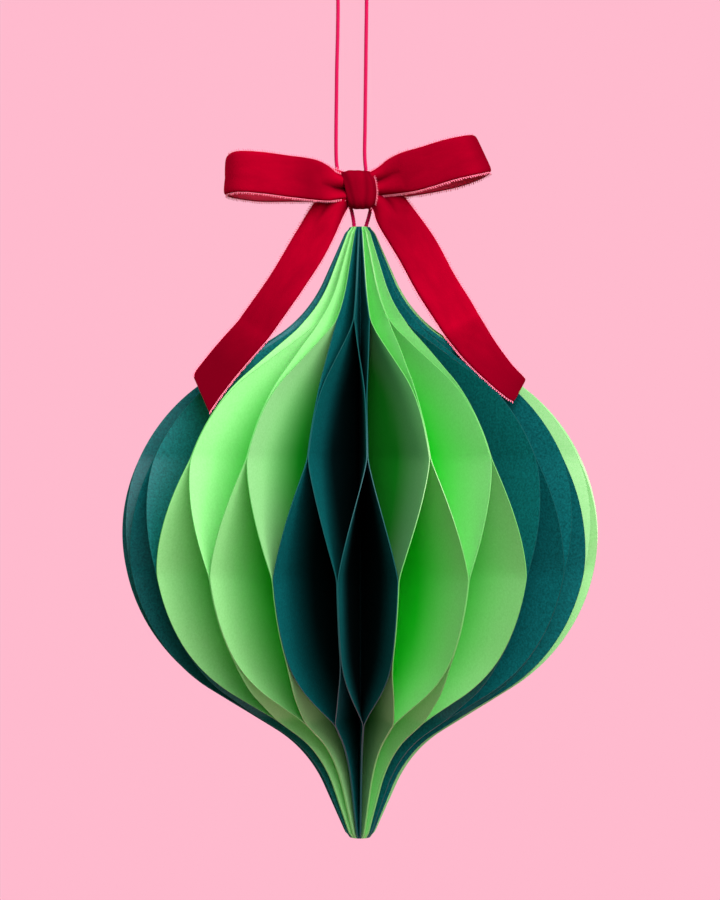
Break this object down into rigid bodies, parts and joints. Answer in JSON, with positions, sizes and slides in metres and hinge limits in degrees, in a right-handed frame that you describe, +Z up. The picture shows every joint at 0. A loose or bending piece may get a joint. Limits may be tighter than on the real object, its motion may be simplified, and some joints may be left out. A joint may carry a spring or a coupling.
{
  "type": "paper accordion ornament",
  "caption": "Hanging onion-shaped ornament of folded card sheets glued in staggered rows into open cells, with a velvet ribbon bow and a cord loop.",
  "frame": {"origin": "where a hook bears inside the top of the hanging cord loop", "axes": "+Z up along the cord, -Y towards the side with the bow's knot, +X to the right seen from that side"},
  "size_m": [0.1223, 0.1222, 0.2245],
  "materials": {
    "dark_card": "smooth uncoated coloured card with paler cut edges",
    "light_card": "smooth uncoated coloured card with paler cut edges",
    "velvet_ribbon": "short crimson velvet pile with pale pink selvedges",
    "cord": "thin hot pink twisted cord"
  },
  "bodies": {
    "root": {"dark_sheet_01": "dark_card", "dark_sheet_02": "dark_card", "light_sheet_03": "light_card", "light_sheet_04": "light_card", "dark_sheet_05": "dark_card", "dark_sheet_06": "dark_card", "light_sheet_07": "light_card", "light_sheet_08": "light_card", "dark_sheet_09": "dark_card", "dark_sheet_10": "dark_card", "light_sheet_11": "light_card", "light_sheet_12": "light_card", "dark_sheet_13": "dark_card", "dark_sheet_14": "dark_card", "light_sheet_15": "light_card", "light_sheet_16": "light_card", "dark_sheet_17": "dark_card", "dark_sheet_18": "dark_card", "light_sheet_19": "light_card", "light_sheet_20": "light_card", "dark_sheet_21": "dark_card", "dark_sheet_22": "dark_card", "light_sheet_23": "light_card", "light_sheet_24": "light_card", "ribbon_bow": "velvet_ribbon", "hanging_cord": "cord"}
  },
  "joints": []
}
